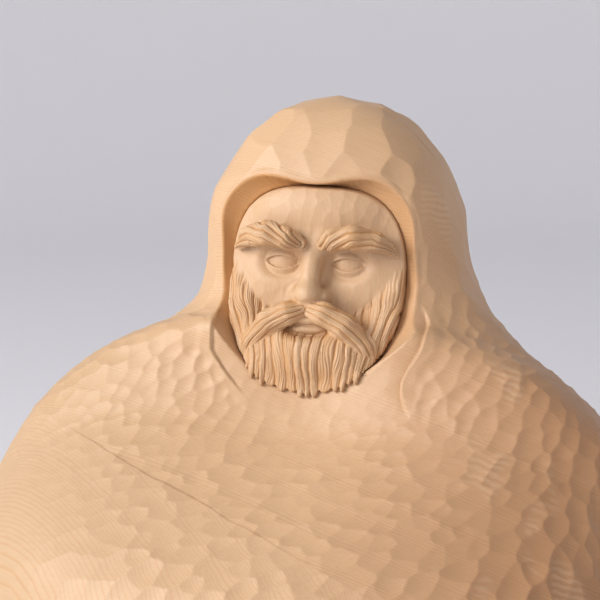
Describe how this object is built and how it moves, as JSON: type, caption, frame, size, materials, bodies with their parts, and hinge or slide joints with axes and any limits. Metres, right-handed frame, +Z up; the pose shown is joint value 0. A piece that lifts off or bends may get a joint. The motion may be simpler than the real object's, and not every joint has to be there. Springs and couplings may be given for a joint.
{
  "type": "carved hooded figure",
  "caption": "Seated, hooded, bearded figure carved in joined timber blocks, with a separate inset face and a flat base to stand on.",
  "frame": {"origin": "middle of the figure's box on its resting face", "axes": "the figure faces -Y, +X is its left hand side, +Z is up"},
  "size_m": [0.32, 0.2639, 0.32],
  "materials": {
    "upper_timber": "bare, satin from the gouge",
    "front_timber": "bare, satin from the gouge",
    "back_timber": "bare, satin from the gouge",
    "face_timber": "bare, knife-cut",
    "board_timber": "bare, planed",
    "dowel_timber": "bare, turned",
    "bamboo": "bare, split"
  },
  "bodies": {
    "root": {"hood_block": "upper_timber", "lower_front_block": "front_timber", "lower_back_block": "back_timber", "face_block": "face_timber", "bottom_board": "board_timber", "sloping_joint_dowels": "dowel_timber", "lower_joint_dowels": "dowel_timber", "face_dowels": "dowel_timber", "board_nails": "bamboo"}
  },
  "joints": []
}
